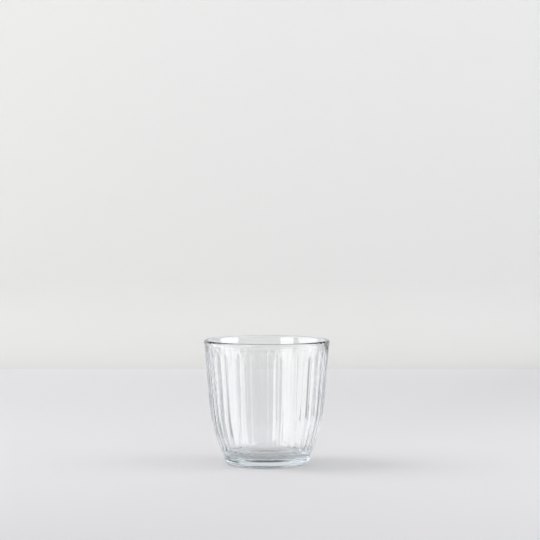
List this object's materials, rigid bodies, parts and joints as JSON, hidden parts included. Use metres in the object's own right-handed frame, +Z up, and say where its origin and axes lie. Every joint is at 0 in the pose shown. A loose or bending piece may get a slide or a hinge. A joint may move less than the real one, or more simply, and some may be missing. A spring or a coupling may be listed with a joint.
{
  "type": "drinking glass",
  "caption": "Clear pressed-glass tumbler with a smooth beaded rim, vertical ribs with arched tops, a curved belly and a thick rounded foot, for cold drinks.",
  "frame": {"origin": "centre of the flat resting ring, on the plane of the table", "axes": "+Z up along the axis of the glass, with the mouth at the top; the crest of a rib is on each of +X, -X, +Y and -Y"},
  "size_m": [0.084, 0.084, 0.083],
  "materials": {
    "clear_glass": "pressed and fire-polished, clear"
  },
  "bodies": {
    "root": {"rim": "clear_glass", "bowl": "clear_glass", "foot": "clear_glass"}
  },
  "joints": []
}
